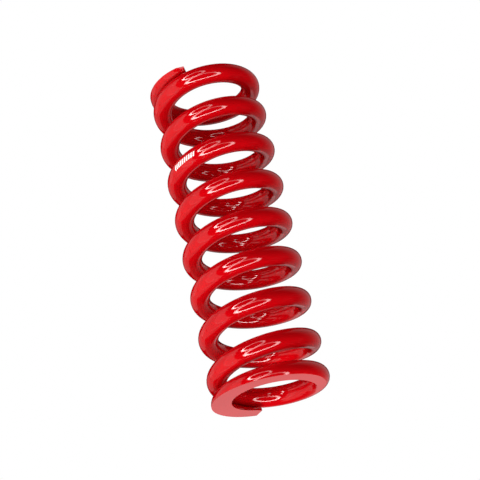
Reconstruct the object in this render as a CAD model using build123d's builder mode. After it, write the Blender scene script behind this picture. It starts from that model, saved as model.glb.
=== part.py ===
from build123d import *

import os
from math import cos, pi, radians, sin, sqrt, tan

# Shock spring: a right-hand coil of round steel wire, closed and ground flat at both ends.
#
# The spring stands on one ground end. Z runs up its axis, and the origin is the middle of
# that end. The wire is followed in turns, counted up from its lower tip. Its first stretch
# leans against the turn above, and then it lies nearly flat for most of a turn. It rises more
# and more steeply over a short ramp, and climbs at one even pitch until the other end, where
# its line is the same turned over. A slanting cut at each tip parts it from the next spring,
# so the wire's inner edge is the longer at the lower tip and its outer edge at the upper one.

# Driving dimensions, in millimetres, turns and degrees
bore_diameter = 36.0  # inside of the coil
wire_diameter = 9.1
free_length = 161.6  # from one ground face to the other, with no load
total_turns = 9.412  # from tip to tip
lean_turns = 0.14  # from each tip, over which the wire leans against the turn above it
closed_turns = 0.74  # from each tip to the start of its ramp
ramp_turns = 0.49  # over which the rise grows to the full pitch
tip_gap = 0.35  # between each tip and the turn that lies over it
tip_thickness = 2.15  # what grinding leaves of the wire at its tip
end_cut_angle = 10.0  # how far each end of the wire is from a square cut
tip_flat_length = 4.8  # flat dressed on the sharp corner of each cut, along the wire
tip_flat_depth = 1.6  # and across it, from the side of the full round wire
lower_tip_angle = 106.0  # around the axis from +X, seen from above
arcs_per_turn = 24  # along the line that the wire follows

# Sizes that follow from them
wire_radius = wire_diameter / 2
mean_radius = (bore_diameter + wire_diameter) / 2
tip_height = tip_thickness - wire_radius  # of the wire's middle, above its ground face
arc_count = round(total_turns * arcs_per_turn)
arc_turns = total_turns / arc_count
cut_slope = tan(radians(end_cut_angle))


def ramp_share(turns, length):
    """Turns of full rise that a ramp of some length has given, so many turns past its start."""
    passed = min(max(turns / length, 0), 1)
    return length * (passed**3 - passed**4 / 2) + max(turns - length, 0)


def steep_share(turns):
    """Turns of full rise in so many turns from a tip: where it leans, and from the ramp on."""
    leaning = max(turns, 0) - ramp_share(turns, lean_turns)
    return leaning + ramp_share(turns - closed_turns, ramp_turns)


# Each closed turn clears its own tip by tip_gap, and the turns between fill the free length.
# Both rules are linear in the two pitches, so the pitches are solved as a pair.
closed_share = 2 * closed_turns + ramp_turns - lean_turns
lap_share = steep_share(1)
lap_rise = wire_diameter + tip_gap
total_rise = free_length - 2 * tip_height
active_pitch = (total_rise * (1 - lap_share) - lap_rise * closed_share) / (
    (total_turns - closed_share) * (1 - lap_share) - lap_share * closed_share
)
closed_pitch = (lap_rise - active_pitch * lap_share) / (1 - lap_share)
cut_behind = 1.5 * wire_radius * active_pitch / (2 * pi * mean_radius)  # past the wire's lean


def rise_from_tip(turns):
    """Height gained at so many turns from the nearer tip."""
    return closed_pitch * turns + (active_pitch - closed_pitch) * steep_share(turns)


def wire_height(turns):
    """Height of the wire's middle, at so many turns from the lower tip."""
    if turns <= total_turns / 2:
        return tip_height + rise_from_tip(turns)
    return free_length - tip_height - rise_from_tip(total_turns - turns)


def wire_angle(turns):
    """Angle around the axis in radians, at so many turns from the lower tip."""
    return radians(lower_tip_angle) + 2 * pi * turns


def wire_point(turns):
    """Middle of the wire, at so many turns from the lower tip."""
    angle = wire_angle(turns)
    return Vector(mean_radius * cos(angle), mean_radius * sin(angle), wire_height(turns))


def first_heading():
    """Direction in which the wire leaves its lower tip, for arcs that follow its steep start."""
    angle = wire_angle(0)
    slope = active_pitch * arc_turns / (2 * mean_radius * tan(pi * arc_turns))
    return Vector(-sin(angle), cos(angle), slope)


def end_cut_plane(turns, face_height, side):
    """Plane on a ground face at a tip, with X towards the cut's sharp corner and Y into the wire.

    side is 1 at the lower tip, where the rest of the wire has more turns, and -1 at the other.
    """
    angle = wire_angle(turns)
    tip = wire_point(turns)
    sharp_side = (-side * cos(angle), -side * sin(angle), 0)
    return Plane(origin=(tip.X, tip.Y, face_height), x_dir=sharp_side, z_dir=(0, 0, -1))


def end_cut_corners(side):
    """Corners of the cutter on that plane: it cuts the wire aslant, and dresses the sharp corner.

    The coil's side curves towards the cutter at the lower tip and away from it at the other,
    so the flat is drawn from the cut to a point on that curve, and runs on a little past it.
    """
    rim_radius = mean_radius - side * wire_radius
    rim_x = side * (mean_radius - sqrt(rim_radius**2 - tip_flat_length**2))
    flat_start = Vector(wire_radius - tip_flat_depth, tip_flat_depth * cut_slope)
    flat_end = flat_start + (Vector(rim_x, tip_flat_length) - flat_start) * 1.35
    return (
        (-wire_diameter, -cut_behind),
        (wire_diameter, -cut_behind),
        (wire_diameter, flat_end.Y),
        flat_end,
        flat_start,
        (-wire_diameter, (wire_radius + wire_diameter) * cut_slope),
    )


with BuildPart() as coil_spring:
    # The wire's line: each arc starts in the direction in which the last one ended
    with BuildLine() as wire_line:
        heading = first_heading()
        for arc_number in range(arc_count):
            start = wire_point(arc_number * arc_turns)
            end = wire_point((arc_number + 1) * arc_turns)
            arc = TangentArc(start, end, tangent=heading)
            heading = arc % 1
    with BuildSketch(Plane(origin=wire_line.line @ 0, z_dir=wire_line.line % 0)):
        Circle(wire_radius)
    sweep(path=wire_line.line)

    # Both ends ground flat
    split(bisect_by=Plane.XY, keep=Keep.TOP)
    split(bisect_by=Plane.XY.offset(free_length), keep=Keep.BOTTOM)

    # The wire's own ends, cut by a block that passes between each tip and the turn next to it
    for tip_turns, face_height, side in ((0, 0, 1), (total_turns, free_length, -1)):
        with BuildSketch(end_cut_plane(tip_turns, face_height, side)):
            with BuildLine():
                Polyline(*end_cut_corners(side), close=True)
            make_face()
        extrude(amount=-side * (tip_thickness + tip_gap / 2), mode=Mode.SUBTRACT)

coil_spring.part.label = "coil_spring"

os.makedirs("parts", exist_ok=True)
export_step(coil_spring.part, "parts/coil_spring.step")

print(f"active pitch {active_pitch:.3f} mm, closed pitch {closed_pitch:.3f} mm a turn")
print(f"outside diameter {bore_diameter + 2 * wire_diameter:.1f} mm")
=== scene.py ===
"""Shock spring: a coil of round steel wire in gloss red powder coat, standing in a plain studio."""

import logging
from dataclasses import dataclass, field
from enum import Enum
from math import atan2, cos, pi, radians, sin, sqrt, tan
from typing import Any, Iterable, Optional

import bmesh
import bpy
from mathutils import Matrix, Vector


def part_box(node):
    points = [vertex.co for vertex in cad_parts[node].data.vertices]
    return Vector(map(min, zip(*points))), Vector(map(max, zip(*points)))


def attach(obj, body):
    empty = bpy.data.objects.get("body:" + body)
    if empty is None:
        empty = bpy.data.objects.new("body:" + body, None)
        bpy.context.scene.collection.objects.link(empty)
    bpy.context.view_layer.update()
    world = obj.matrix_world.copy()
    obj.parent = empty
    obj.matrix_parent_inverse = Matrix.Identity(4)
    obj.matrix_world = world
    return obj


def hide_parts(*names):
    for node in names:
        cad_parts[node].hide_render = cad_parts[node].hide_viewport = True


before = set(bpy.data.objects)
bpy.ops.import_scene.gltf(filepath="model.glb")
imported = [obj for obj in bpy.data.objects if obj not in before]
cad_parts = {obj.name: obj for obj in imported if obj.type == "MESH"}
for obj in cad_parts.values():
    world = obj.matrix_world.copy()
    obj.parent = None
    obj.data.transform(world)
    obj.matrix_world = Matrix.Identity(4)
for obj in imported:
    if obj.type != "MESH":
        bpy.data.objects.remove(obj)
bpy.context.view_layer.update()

log = logging.getLogger("shock_spring")

MM = 0.001
PHOTO_SIDE = 480  # pixels, both ways
ON_PLANE = 1e-7  # metres from a cutting plane, within which a vert lies on it


class WireEnd(Enum):
    """The two ends of the wire, each with the sign of the turns that lead from it into the wire."""

    LOWER = 1
    UPPER = -1


class LampKind(Enum):
    """What a lamp is for, each with its distance from the spring in metres."""

    PANEL = 1.6  # seen in the gloss alone
    SOFT = 2.0  # lights the coat's colour alone


def linear(hex_colour: str) -> tuple[float, float, float, float]:
    """Turns an sRGB hex colour into the linear one that a shader takes.

    Args:
        hex_colour: six hex digits after a hash sign.

    Returns:
        Linear red, green and blue, and an alpha of 1.
    """
    parts = [int(hex_colour[i : i + 2], 16) / 255 for i in (1, 3, 5)]
    red, green, blue = (p / 12.92 if p <= 0.04045 else ((p + 0.055) / 1.055) ** 2.4 for p in parts)
    return red, green, blue, 1.0


def grey(level: float) -> tuple[float, float, float, float]:
    """Linear grey of a level from 0, black, to 1, white, with an alpha of 1."""
    return level, level, level, 1.0


def direction(turn: float, rise: float) -> Vector:
    """Direction out from the spring.

    Args:
        turn: degrees round from the front, to the right.
        rise: degrees up from level.

    Returns:
        The direction as a vector of length 1.
    """
    turn, rise = radians(turn), radians(rise)
    return Vector((cos(rise) * sin(turn), -cos(rise) * cos(turn), sin(rise)))


def add_node(
    tree: bpy.types.NodeTree,
    kind: str,
    inputs: Optional[dict[Any, Any]] = None,
    **settings: Any,
) -> bpy.types.Node:
    """Adds a node with its settings, and with a value or a link at each named input.

    Args:
        tree: the material's or world's nodes.
        kind: the node's type in Blender.
        inputs: for each input's name or number, a value or another node's output.
        settings: the node's own properties.

    Returns:
        The new node.
    """
    node = tree.nodes.new(kind)
    for name, value in settings.items():
        setattr(node, name, value)
    for name, value in (inputs or {}).items():
        if isinstance(value, bpy.types.NodeSocket):
            tree.links.new(value, node.inputs[name])
        else:
            node.inputs[name].default_value = value
    return node


def set_ramp(node: bpy.types.Node, stops: Iterable[tuple[float, tuple]]) -> None:
    """Gives a colour ramp its stops.

    Args:
        node: the Color Ramp node.
        stops: a place from 0 to 1 and a linear colour for each.
    """
    ramp = node.color_ramp
    for index, (place, colour) in enumerate(stops):
        element = ramp.elements[index] if index < 2 else ramp.elements.new(place)
        element.position = place
        element.color = colour


def bare_material(name: str) -> bpy.types.Material:
    """Makes a material that has no nodes yet.

    Args:
        name: the material's name.

    Returns:
        The new material.
    """
    material = bpy.data.materials.new(name)
    material.use_nodes = True
    material.node_tree.nodes.clear()
    return material


def new_piece(name: str, mesh_work: bmesh.types.BMesh) -> bpy.types.Object:
    """Makes an object of a finished bmesh, at the origin, with its place in its mesh.

    Args:
        name: the piece's name.
        mesh_work: the bmesh, which is freed.

    Returns:
        The new object, in the scene.
    """
    mesh = bpy.data.meshes.new(name)
    mesh_work.to_mesh(mesh)
    mesh_work.free()
    piece = bpy.data.objects.new(name, mesh)
    bpy.context.scene.collection.objects.link(piece)
    return piece


@dataclass(frozen=True)
class PowderCoat:
    """Gloss polyester powder, sprayed on and baked until it flows out."""

    # It gives the eye a deep, even red under sharp mirrored lamps, whose edges waver a little on
    # the orange peel
    colour: str = "#c0030b"
    deep_colour: str = "#b8020a"
    shade_size: float = 30 * MM  # from one deeper place to the next
    shade_span: tuple[float, float] = (0.35, 0.65)  # of the noise, from deep colour to colour
    roughness: float = 0.06
    ior: float = 1.5
    peel_size: float = 2.2 * MM  # from one wave of orange peel to the next
    peel_depth: float = 0.0009 * MM  # from the lowest dip to the highest crest

    def material(self) -> bpy.types.Material:
        """Builds the coat's material.

        Returns:
            The material, on Object coordinates.
        """
        coat = bare_material("gloss_red_powder_coat")
        tree = coat.node_tree
        place = add_node(tree, "ShaderNodeTexCoord").outputs["Object"]
        shade = add_node(
            tree,
            "ShaderNodeTexNoise",
            {"Vector": place, "Scale": 1 / self.shade_size, "Detail": 3.0},
        )
        tint = add_node(tree, "ShaderNodeValToRGB", {"Fac": shade.outputs["Fac"]})
        set_ramp(tint, zip(self.shade_span, (linear(self.deep_colour), linear(self.colour))))
        peel = add_node(
            tree,
            "ShaderNodeTexNoise",
            {"Vector": place, "Scale": 1 / self.peel_size, "Detail": 1.5, "Roughness": 0.4},
        )
        waves = add_node(
            tree,
            "ShaderNodeBump",
            {"Height": peel.outputs["Fac"], "Distance": self.peel_depth, "Strength": 1.0},
        )
        gloss = add_node(
            tree,
            "ShaderNodeBsdfPrincipled",
            {
                "Base Color": tint.outputs["Color"],
                "Roughness": self.roughness,
                "IOR": self.ior,
                "Normal": waves.outputs["Normal"],
            },
        )
        add_node(tree, "ShaderNodeOutputMaterial", {"Surface": gloss.outputs["BSDF"]})
        return coat


@dataclass(frozen=True)
class PrintInk:
    """White screen ink, pulled through a mesh onto the coat."""

    # It gives the eye a satin white that lets a trace of the red through where it lies thin
    colour: str = "#f6f1ee"
    thin_colour: str = "#e9d6d3"
    cover_size: float = 0.6 * MM  # from one thin place to the next
    cover_span: tuple[float, float] = (0.3, 0.55)  # of the noise, from thin to full cover
    roughness: float = 0.35
    ior: float = 1.46

    def material(self) -> bpy.types.Material:
        """Builds the ink's material.

        Returns:
            The material, on Object coordinates.
        """
        ink = bare_material("white_screen_ink")
        tree = ink.node_tree
        place = add_node(tree, "ShaderNodeTexCoord").outputs["Object"]
        cover = add_node(
            tree,
            "ShaderNodeTexNoise",
            {"Vector": place, "Scale": 1 / self.cover_size, "Detail": 2.0},
        )
        tint = add_node(tree, "ShaderNodeValToRGB", {"Fac": cover.outputs["Fac"]})
        set_ramp(tint, zip(self.cover_span, (linear(self.thin_colour), linear(self.colour))))
        face = add_node(
            tree,
            "ShaderNodeBsdfPrincipled",
            {"Base Color": tint.outputs["Color"], "Roughness": self.roughness, "IOR": self.ior},
        )
        add_node(tree, "ShaderNodeOutputMaterial", {"Surface": face.outputs["BSDF"]})
        return ink


@dataclass(frozen=True)
class StudioPaper:
    """Matt white paper, laid out as a floor."""

    # It gives the eye a flat pale ground that takes a soft shadow
    colour: str = "#f2f2f0"
    glow: float = 0.2  # seen by the camera alone

    def material(self) -> bpy.types.Material:
        """Builds the paper's material, which is clear from below.

        Returns:
            The material.
        """
        paper = bare_material("matt_studio_paper")
        tree = paper.node_tree
        colour = linear(self.colour)
        matt = add_node(tree, "ShaderNodeBsdfDiffuse", {"Color": colour})
        seen = add_node(tree, "ShaderNodeLightPath").outputs["Is Camera Ray"]
        glow = add_node(tree, "ShaderNodeMath", {0: seen, 1: self.glow}, operation="MULTIPLY")
        lift = add_node(
            tree, "ShaderNodeEmission", {"Color": colour, "Strength": glow.outputs[0]}
        )
        above = add_node(tree, "ShaderNodeAddShader", {0: matt.outputs[0], 1: lift.outputs[0]})
        below = add_node(tree, "ShaderNodeBsdfTransparent")
        from_below = add_node(tree, "ShaderNodeNewGeometry").outputs["Backfacing"]
        both = add_node(
            tree, "ShaderNodeMixShader", {0: from_below, 1: above.outputs[0], 2: below.outputs[0]}
        )
        add_node(tree, "ShaderNodeOutputMaterial", {"Surface": both.outputs[0]})
        return paper


@dataclass
class SpringWire:
    """The coil: round wire that lies closed at both ends, ramps up and climbs at one pitch.

    Places along the wire are turns, counted up from its lower tip.
    """

    bore_diameter: float = 36.0 * MM
    wire_diameter: float = 9.1 * MM
    free_length: float = 161.6 * MM
    total_turns: float = 9.412
    lean_turns: float = 0.14  # from each tip, over which the wire leans on the turn next to it
    closed_turns: float = 0.74  # from each tip to the start of its ramp
    ramp_turns: float = 0.49
    tip_gap: float = 0.35 * MM  # between each tip and the turn next to it
    tip_thickness: float = 2.15 * MM  # what grinding leaves of the wire at its tip
    end_cut_angle: float = radians(10.0)  # how far each end is from a square cut
    tip_flat_length: float = 4.8 * MM  # flat dressed on the sharp corner of each cut
    tip_flat_depth: float = 1.6 * MM  # across the wire
    lower_tip_angle: float = radians(106.0)  # around the axis from +X
    sides: int = 48  # around the wire
    steps_per_turn: int = 72
    spare_turns: float = 0.03  # run past each tip before the ends are cut
    coat: PowderCoat = field(default_factory=PowderCoat)

    def __post_init__(self) -> None:
        """Solves the two pitches: the closed turns clear the tips, the rest fill the length."""
        self.wire_radius = self.wire_diameter / 2
        self.mean_radius = (self.bore_diameter + self.wire_diameter) / 2
        self.tip_height = self.tip_thickness - self.wire_radius
        closed_share = 2 * self.closed_turns + self.ramp_turns - self.lean_turns
        lap_share = self.steep_share(1)
        lap_rise = self.wire_diameter + self.tip_gap
        total_rise = self.free_length - 2 * self.tip_height
        self.active_pitch = (total_rise * (1 - lap_share) - lap_rise * closed_share) / (
            (self.total_turns - closed_share) * (1 - lap_share) - lap_share * closed_share
        )
        self.closed_pitch = (lap_rise - self.active_pitch * lap_share) / (1 - lap_share)

    @staticmethod
    def ramp_share(turns: float, length: float) -> float:
        """Turns of full rise that a ramp has given.

        Args:
            turns: turns past the ramp's start.
            length: the ramp's own length in turns.

        Returns:
            The share, in turns.
        """
        passed = min(max(turns / length, 0), 1)
        return length * (passed**3 - passed**4 / 2) + max(turns - length, 0)

    def steep_share(self, turns: float) -> float:
        """Turns of full rise from a tip on: where the wire leans on the next turn, and its climb.

        Args:
            turns: turns from the nearer tip, less than 0 past it.

        Returns:
            The share, in turns.
        """
        leaning = turns - self.ramp_share(turns, self.lean_turns)
        return leaning + self.ramp_share(turns - self.closed_turns, self.ramp_turns)

    def height(self, turns: float) -> float:
        """Height of the wire's middle.

        Args:
            turns: turns up from the lower tip.

        Returns:
            The height above the lower ground face, in metres.
        """
        from_tip = min(turns, self.total_turns - turns)
        extra = (self.active_pitch - self.closed_pitch) * self.steep_share(from_tip)
        rise = self.tip_height + self.closed_pitch * from_tip + extra
        return rise if turns <= self.total_turns / 2 else self.free_length - rise

    def section(self, turns: float) -> Matrix:
        """Frame of the wire's section: X outwards, Y up across the wire, Z back along it.

        Args:
            turns: turns up from the lower tip.

        Returns:
            The section's place as a matrix.
        """
        angle = self.lower_tip_angle + 2 * pi * turns
        step = 0.0005  # turns to each side, over which the rise is taken
        rise = (self.height(turns + step) - self.height(turns - step)) / (2 * step)
        along = Vector((-sin(angle), cos(angle), rise / (2 * pi * self.mean_radius))).normalized()
        outward = Vector((cos(angle), sin(angle), 0))
        up = outward.cross(along)
        place = self.mean_radius * outward + Vector((0, 0, self.height(turns)))
        axes = Matrix((outward, up, outward.cross(up))).transposed().to_4x4()
        return Matrix.Translation(place) @ axes

    def on_surface(self, turns: float, around: float) -> Vector:
        """Point on the wire's surface.

        Args:
            turns: turns up from the lower tip.
            around: angle in radians around the wire from its outermost line, upwards.

        Returns:
            The point, in metres.
        """
        outward, up = self.wire_radius * cos(around), self.wire_radius * sin(around)
        return self.section(turns) @ Vector((outward, up, 0))

    def build(self) -> bpy.types.Object:
        """Winds the wire, cuts its ends and grinds them flat.

        Returns:
            The wound_wire piece, in its coat.
        """
        work = bmesh.new()
        turns = -self.spare_turns
        bmesh.ops.create_circle(
            work, segments=self.sides, radius=self.wire_radius, matrix=self.section(turns)
        )
        ring = work.edges[:]
        wound_turns = self.total_turns + 2 * self.spare_turns
        steps = round(wound_turns * self.steps_per_turn)
        step = wound_turns / steps
        for _ in range(steps):
            grown = bmesh.ops.extrude_edge_only(work, edges=ring)["geom"]
            verts = [item for item in grown if isinstance(item, bmesh.types.BMVert)]
            ring = [item for item in grown if isinstance(item, bmesh.types.BMEdge)]
            move = self.section(turns + step) @ self.section(turns).inverted()
            bmesh.ops.transform(work, matrix=move, verts=verts)
            turns += step
        for face in work.faces:
            face.smooth = True
        for end in WireEnd:
            for point, keep in self.end_cuts(end):
                self.slice_off(work, self.near_tip(work, end), point, keep)
        for end in WireEnd:
            self.grind(work, end)
        bmesh.ops.recalc_face_normals(work, faces=work.faces)
        piece = new_piece("wound_wire", work)
        piece.data.materials.append(self.coat.material())
        return piece

    def tip_turns(self, end: WireEnd) -> float:
        """Place of a tip along the wire.

        Args:
            end: which end of the wire.

        Returns:
            Turns up from the lower tip.
        """
        return 0.0 if end is WireEnd.LOWER else self.total_turns

    def end_cuts(self, end: WireEnd) -> list[tuple[Vector, Vector]]:
        """Planes that shape a tip: its slanting cut, and the flat dressed on its sharp corner.

        Args:
            end: which end of the wire.

        Returns:
            For each plane a point on it, and the direction of the side that stays.
        """
        side = end.value
        angle = self.lower_tip_angle + 2 * pi * self.tip_turns(end)
        outward = Vector((cos(angle), sin(angle), 0))
        into_wire = side * Vector((-sin(angle), cos(angle), 0))
        sharp_side = -side * outward
        tip = self.mean_radius * outward
        cut_keep = sharp_side * sin(self.end_cut_angle) + into_wire * cos(self.end_cut_angle)
        # The flat runs from the cut to the coil's side, which curves
        cut_back = self.tip_flat_depth * tan(self.end_cut_angle)
        flat_start = tip + sharp_side * (self.wire_radius - self.tip_flat_depth)
        flat_start += into_wire * cut_back
        rim_radius = self.mean_radius - side * self.wire_radius
        rim_reach = side * (self.mean_radius - sqrt(rim_radius**2 - self.tip_flat_length**2))
        flat_end = tip + sharp_side * rim_reach + into_wire * self.tip_flat_length
        flat_keep = (flat_end - flat_start).cross(Vector((0, 0, 1))).normalized()
        if flat_keep.dot(sharp_side) > 0:
            flat_keep.negate()
        return [(tip + sharp_side * self.wire_radius, cut_keep), (flat_start, flat_keep)]

    def near_tip(self, work: bmesh.types.BMesh, end: WireEnd) -> list:
        """Picks the wire's last few millimetres, and nothing of the turn that lies against them.

        Args:
            work: the wire.
            end: which end of the wire.

        Returns:
            The faces there, with their edges and verts.
        """
        tip_turns = self.tip_turns(end)
        reach = 0.07  # turns from the tip, which is past both of its cuts
        room = 1.02 * self.wire_radius  # over and under the wire's line, short of the next turn
        faces = []
        for face in work.faces:
            for vert in face.verts:
                angle = atan2(vert.co.y, vert.co.x) - self.lower_tip_angle
                away = (angle / (2 * pi) - tip_turns + 0.5) % 1 - 0.5  # half a turn at most
                off_line = abs(vert.co.z - self.height(tip_turns + away))
                if abs(away) > reach or off_line > room:
                    break
            else:
                faces.append(face)
        edges = dict.fromkeys(edge for face in faces for edge in face.edges)
        verts = dict.fromkeys(vert for face in faces for vert in face.verts)
        return [*verts, *edges, *faces]

    def grind(self, work: bmesh.types.BMesh, end: WireEnd) -> None:
        """Grinds one end of the coil flat.

        Args:
            work: the wire.
            end: which end of the wire.
        """
        level = 0.0 if end is WireEnd.LOWER else self.free_length
        everything = [*work.verts, *work.edges, *work.faces]
        self.slice_off(work, everything, Vector((0, 0, level)), Vector((0, 0, end.value)))

    @staticmethod
    def slice_off(work: bmesh.types.BMesh, geometry: list, point: Vector, keep: Vector) -> None:
        """Cuts geometry with a plane and closes the cut with one flat face.

        Args:
            work: the mesh.
            geometry: the verts, edges and faces to cut.
            point: a point on the plane.
            keep: the direction of the side that stays.
        """
        cut = bmesh.ops.bisect_plane(
            work, geom=geometry, dist=ON_PLANE, plane_co=point, plane_no=keep, clear_inner=True
        )["geom_cut"]
        rim = [item for item in cut if isinstance(item, bmesh.types.BMEdge)]
        flat = bmesh.ops.contextual_create(work, geom=rim)["faces"]
        for item in (*flat, *rim):
            item.smooth = False


@dataclass
class PrintedBars:
    """A row of short slanting bars, printed along the wire in white ink."""

    wire: SpringWire
    start_turns: float = 6.309
    end_turns: float = 6.396
    low_edge: float = -0.39  # radians around the wire from its outermost line, upwards
    high_edge: float = 0.09
    bars: int = 10
    bar_share: float = 0.62  # of the room for each bar
    slant: float = 0.8  # of that room, from a bar's foot to its head
    thickness: float = 0.05 * MM
    ink: PrintInk = field(default_factory=PrintInk)

    def build(self) -> bpy.types.Object:
        """Prints the bars on the wire.

        Returns:
            The printed_bars piece.
        """
        work = bmesh.new()
        room = (self.end_turns - self.start_turns) / (self.bars + self.slant)
        from_corner = Matrix.Translation((0.5, 0.5, 0))  # so that each bar's sides run from 0 to 1
        for number in range(self.bars):
            bar = bmesh.ops.create_grid(
                work, x_segments=2, y_segments=8, size=0.5, matrix=from_corner
            )
            for vert in bar["verts"]:
                across, up = vert.co.xy
                along = number + across * self.bar_share + up * self.slant
                around = self.low_edge + up * (self.high_edge - self.low_edge)
                vert.co = self.wire.on_surface(self.start_turns + along * room, around)
        work.normal_update()
        bmesh.ops.solidify(work, geom=work.faces[:], thickness=-self.thickness)
        bmesh.ops.recalc_face_normals(work, faces=work.faces)
        piece = new_piece("printed_bars", work)
        piece.data.materials.append(self.ink.material())
        return piece


@dataclass(frozen=True)
class Lamp:
    """A flat lamp that the spring sees as a patch of the studio."""

    name: str
    kind: LampKind
    left: float  # edges in degrees, round from the front to the right, and up
    right: float
    low: float
    high: float
    radiance: float

    def build(self, target: Vector) -> None:
        """Hangs the lamp.

        Args:
            target: the point that it faces.
        """
        distance = self.kind.value
        rise = (self.low + self.high) / 2
        towards = direction((self.left + self.right) / 2, rise)
        light = bpy.data.lights.new(self.name, "AREA")
        light.shape = "RECTANGLE"
        light.size = 2 * distance * tan(radians(self.right - self.left) / 2) * cos(radians(rise))
        light.size_y = 2 * distance * tan(radians(self.high - self.low) / 2)
        light.energy = self.radiance * pi * light.size * light.size_y
        lamp = bpy.data.objects.new(self.name, light)
        facing = towards.to_track_quat("Z", "Y").to_matrix().to_4x4()
        lamp.matrix_world = Matrix.Translation(target + distance * towards) @ facing
        lamp.visible_camera = False
        lamp.visible_glossy = self.kind is LampKind.PANEL
        lamp.visible_diffuse = self.kind is LampKind.SOFT
        bpy.context.scene.collection.objects.link(lamp)


@dataclass(frozen=True)
class LampRing:
    """A ring of light in front of the spring, seen in the gloss alone as a bright loop."""

    turn: float  # of its middle, in degrees round from the front to the right
    rise: float  # and up
    half_width: float  # sines of the angles that it spans from its middle
    half_height: float
    radiance: float
    shares: tuple[tuple[float, float], ...]  # of the radiance, from its left end round by its foot
    band: tuple[float, ...] = (0.85, 0.93, 1.07, 1.15)  # of its size: dark, bright, bright, dark

    def add_to(
        self, tree: bpy.types.NodeTree, look: bpy.types.NodeSocket
    ) -> bpy.types.NodeSocket:
        """Adds the ring to the world's nodes.

        Args:
            tree: the world's nodes.
            look: the output that gives the direction looked in.

        Returns:
            The output that gives the ring's radiance in that direction.
        """
        middle = direction(self.turn, self.rise)
        right = direction(self.turn + 90, 0)
        up = middle.cross(right)
        parts = [
            add_node(tree, "ShaderNodeVectorMath", {0: look, 1: axis}, operation="DOT_PRODUCT")
            for axis in (right / self.half_width, up / self.half_height, middle)
        ]
        across, above, ahead = (part.outputs["Value"] for part in parts)
        offset = add_node(tree, "ShaderNodeCombineXYZ", {"X": across, "Y": above})
        away = add_node(tree, "ShaderNodeVectorMath", {0: offset.outputs[0]}, operation="LENGTH")
        # A ramp ends at 1 and the band goes past it, so the ramp takes half of the size
        halved = add_node(
            tree, "ShaderNodeMath", {0: away.outputs["Value"], 1: 0.5}, operation="MULTIPLY"
        )
        band = add_node(tree, "ShaderNodeValToRGB", {"Fac": halved.outputs[0]})
        set_ramp(band, [(at / 2, grey(level)) for at, level in zip(self.band, (0, 1, 1, 0))])
        angle = add_node(tree, "ShaderNodeMath", {0: above, 1: across}, operation="ARCTAN2")
        way_round = add_node(
            tree,
            "ShaderNodeMath",
            {0: angle.outputs[0], 1: 1 / (2 * pi), 2: 0.5},
            operation="MULTIPLY_ADD",
        )
        share = add_node(tree, "ShaderNodeValToRGB", {"Fac": way_round.outputs[0]})
        set_ramp(share, [(place, grey(level)) for place, level in self.shares])
        in_front = add_node(tree, "ShaderNodeMath", {0: ahead, 1: 0.0}, operation="GREATER_THAN")
        glow = in_front.outputs[0]
        for factor in (band.outputs["Color"], share.outputs["Color"], self.radiance):
            glow = add_node(
                tree, "ShaderNodeMath", {0: glow, 1: factor}, operation="MULTIPLY"
            ).outputs[0]
        return glow


@dataclass(frozen=True)
class StudioWalls:
    """The studio's back and right, seen in the gloss alone, brighter the further back.

    Places on them are parts of the direction looked in: X to the right, Y back and Z up.
    """

    radiances: tuple[tuple[float, float], ...] = (  # for each depth
        (0.05, 0.01),
        (0.2, 0.03),
        (0.4, 0.12),
        (0.7, 0.27),
        (1.0, 0.40),
    )
    height_share: float = 0.78  # how much of a height counts as depth
    top: float = 0.86  # height above which they are dark
    lean: float = 1.3  # how far their left end moves right with height
    lean_top: float = 0.28  # height above which it stands straight
    fade: float = 0.14  # width over which that end grows bright

    def add_to(
        self, tree: bpy.types.NodeTree, look: bpy.types.NodeSocket
    ) -> bpy.types.NodeSocket:
        """Adds the walls to the world's nodes.

        Args:
            tree: the world's nodes.
            look: the output that gives the direction looked in.

        Returns:
            The output that gives the walls' radiance in that direction.
        """
        parts = add_node(tree, "ShaderNodeSeparateXYZ", {"Vector": look})
        across, back, height = parts.outputs
        depth = add_node(
            tree,
            "ShaderNodeMath",
            {0: height, 1: self.height_share, 2: back},
            operation="MULTIPLY_ADD",
        )
        brightness = add_node(tree, "ShaderNodeValToRGB", {"Fac": depth.outputs[0]})
        set_ramp(brightness, [(place, grey(level)) for place, level in self.radiances])
        under_top = add_node(
            tree, "ShaderNodeMath", {0: height, 1: self.top}, operation="LESS_THAN"
        )
        leaning = add_node(
            tree, "ShaderNodeMath", {0: height, 1: self.lean_top}, operation="MINIMUM"
        )
        past_end = add_node(
            tree,
            "ShaderNodeMath",
            {0: leaning.outputs[0], 1: -self.lean, 2: across},
            operation="MULTIPLY_ADD",
        )
        right_part = add_node(tree, "ShaderNodeValToRGB", {"Fac": past_end.outputs[0]})
        set_ramp(right_part, [(0.0, grey(0)), (self.fade, grey(1))])
        glow = brightness.outputs["Color"]
        for share in (under_top.outputs[0], right_part.outputs["Color"]):
            glow = add_node(
                tree, "ShaderNodeMath", {0: glow, 1: share}, operation="MULTIPLY"
            ).outputs[0]
        return glow


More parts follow.
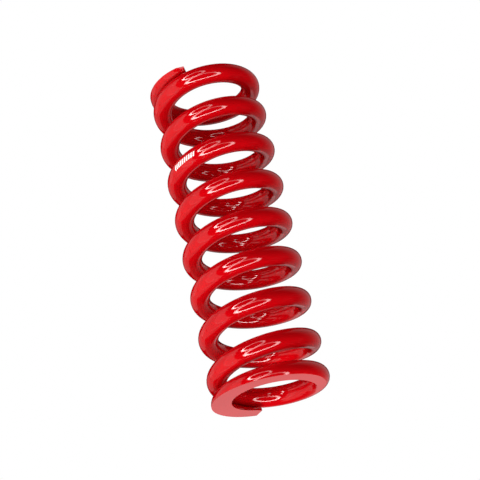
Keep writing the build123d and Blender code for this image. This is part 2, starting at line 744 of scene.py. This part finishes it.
@dataclass
class Studio:
    """The camera, the lamps, the pale floor and the surroundings."""

    middle: Vector  # of the spring
    focal_pixels: float = 1200.03  # fitted to the photograph's outlines, with the camera's place
    camera_place: tuple[float, ...] = (1.2248 * MM, -510.1986 * MM, -156.4770 * MM)
    camera_right: tuple[float, ...] = (0.97634683, 0.09000675, -0.19658497)
    camera_up: tuple[float, ...] = (0.21621023, -0.40644611, 0.88772445)
    floor_side: float = 3.0
    floor_drop: float = 0.1 * MM  # below the spring, so that the two don't touch
    ambient: float = 0.15
    paper: StudioPaper = field(default_factory=StudioPaper)
    walls: StudioWalls = field(default_factory=StudioWalls)
    lamps: tuple[Lamp, ...] = (  # left, right, low and high edges, and then the radiance
        Lamp("panel_back_left", LampKind.PANEL, -150, -123, -30, 18, 0.32),
        Lamp("panel_far_left_top", LampKind.PANEL, -125, -100, -4, 46, 0.52),
        Lamp("panel_far_left", LampKind.PANEL, -125, -100, -72, 0, 0.40),
        Lamp("panel_left", LampKind.PANEL, -101, -74, -70, 50, 0.49),
        Lamp("panel_near_left", LampKind.PANEL, -75, -49, -65, 50, 0.74),
        Lamp("panel_behind", LampKind.PANEL, 166, 194, -24, -10, 0.38),
        Lamp("soft_key_high", LampKind.SOFT, -75, -45, 5, 35, 8.2),
        Lamp("soft_key_low", LampKind.SOFT, -75, -45, -70, -40, 13.6),
        Lamp("soft_front", LampKind.SOFT, -25, 5, -20, 10, 3.1),
        Lamp("soft_right", LampKind.SOFT, 20, 50, -50, -10, 0.4),
        Lamp("soft_far_right", LampKind.SOFT, 85, 125, -50, 10, 2.4),
        Lamp("soft_below", LampKind.SOFT, -40, 40, -90, -60, 7.0),
        Lamp("soft_above", LampKind.SOFT, -40, 40, 60, 90, 2.6),
        Lamp("soft_behind", LampKind.SOFT, 160, 190, 5, 35, 3.6),
    )
    rings: tuple[LampRing, ...] = (
        LampRing(
            turn=-13.0,
            rise=14.6,
            half_width=0.352,
            half_height=0.38,
            radiance=24.0,
            shares=(
                (0.0, 0.98),
                (0.083, 0.92),
                (0.194, 0.41),
                (0.333, 0.33),
                (0.472, 0.15),
                (0.556, 0.26),
                (0.694, 0.15),
                (0.75, 0.17),
                (0.861, 0.36),
                (0.917, 0.64),
                (1.0, 1.0),
            ),
        ),
        LampRing(
            turn=9.3,
            rise=-37.0,
            half_width=0.485,
            half_height=0.445,
            radiance=21.0,
            shares=(
                (0.0, 0.72),
                (0.083, 0.94),
                (0.167, 1.0),
                (0.25, 0.88),
                (0.333, 0.66),
                (0.417, 0.46),
                (0.472, 0.41),
                (0.528, 0.55),
                (0.583, 0.26),
                (0.639, 0.11),
                (0.722, 0.11),
                (0.806, 0.3),
                (0.917, 0.48),
                (1.0, 0.6),
            ),
        ),
    )

    def build(self) -> None:
        """Sets up everything around the spring."""
        self.build_camera()
        for lamp in self.lamps:
            lamp.build(self.middle)
        self.build_floor()
        self.build_world()
        bpy.context.scene.view_settings.view_transform = "Standard"

    def build_camera(self) -> None:
        """Places the camera where the photograph was taken from."""
        data = bpy.data.cameras.new("camera")
        data.sensor_fit = "HORIZONTAL"
        data.sensor_width = 36.0
        data.lens = self.focal_pixels / PHOTO_SIDE * data.sensor_width
        data.clip_start = 0.01
        camera = bpy.data.objects.new("camera", data)
        right = Vector(self.camera_right).normalized()
        back = right.cross(Vector(self.camera_up)).normalized()
        axes = Matrix((right, back.cross(right), back)).transposed().to_4x4()
        camera.matrix_world = Matrix.Translation(Vector(self.camera_place)) @ axes
        bpy.context.scene.collection.objects.link(camera)
        bpy.context.scene.camera = camera

    def build_floor(self) -> None:
        """Lays the paper floor, which the photograph looks up through."""
        work = bmesh.new()
        bmesh.ops.create_grid(work, x_segments=1, y_segments=1, size=self.floor_side / 2)
        bmesh.ops.translate(work, verts=work.verts, vec=(0, 0, -self.floor_drop))
        floor = new_piece("floor", work)
        floor.data.materials.append(self.paper.material())
        floor.visible_diffuse = False
        floor.visible_glossy = False
        floor.visible_shadow = False

    def build_world(self) -> None:
        """Shows white to the camera, walls and rings to the gloss, and dim light to the rest."""
        world = bpy.data.worlds.new("studio")
        world.use_nodes = True
        tree = world.node_tree
        tree.nodes.clear()
        look = add_node(tree, "ShaderNodeTexCoord").outputs["Generated"]
        mirrored = self.walls.add_to(tree, look)
        for ring in self.rings:
            mirrored = add_node(
                tree, "ShaderNodeMath", {0: mirrored, 1: ring.add_to(tree, look)}, operation="ADD"
            ).outputs[0]
        gloss, white, dim = (
            add_node(tree, "ShaderNodeBackground", {"Color": grey(1), "Strength": strength})
            for strength in (mirrored, 1.0, self.ambient)
        )
        kinds = add_node(tree, "ShaderNodeLightPath")
        lit = add_node(
            tree,
            "ShaderNodeMixShader",
            {0: kinds.outputs["Is Glossy Ray"], 1: dim.outputs[0], 2: gloss.outputs[0]},
        )
        seen = add_node(
            tree,
            "ShaderNodeMixShader",
            {0: kinds.outputs["Is Camera Ray"], 1: lit.outputs[0], 2: white.outputs[0]},
        )
        add_node(tree, "ShaderNodeOutputWorld", {"Surface": seen.outputs[0]})
        bpy.context.scene.world = world


def main() -> None:
    """Builds the wire, its printed bars and the studio, in that order."""
    logging.basicConfig(level=logging.INFO, format="%(name)s: %(message)s")
    wire = SpringWire()
    coil = wire.build()
    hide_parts("coil_spring")
    for piece in (coil, PrintedBars(wire).build()):
        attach(piece, "root")
        log.info("%s: %d faces", piece.name, len(piece.data.polygons))
    low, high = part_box("coil_spring")
    Studio(middle=(low + high) / 2).build()


if __name__ == "__main__":
    main()
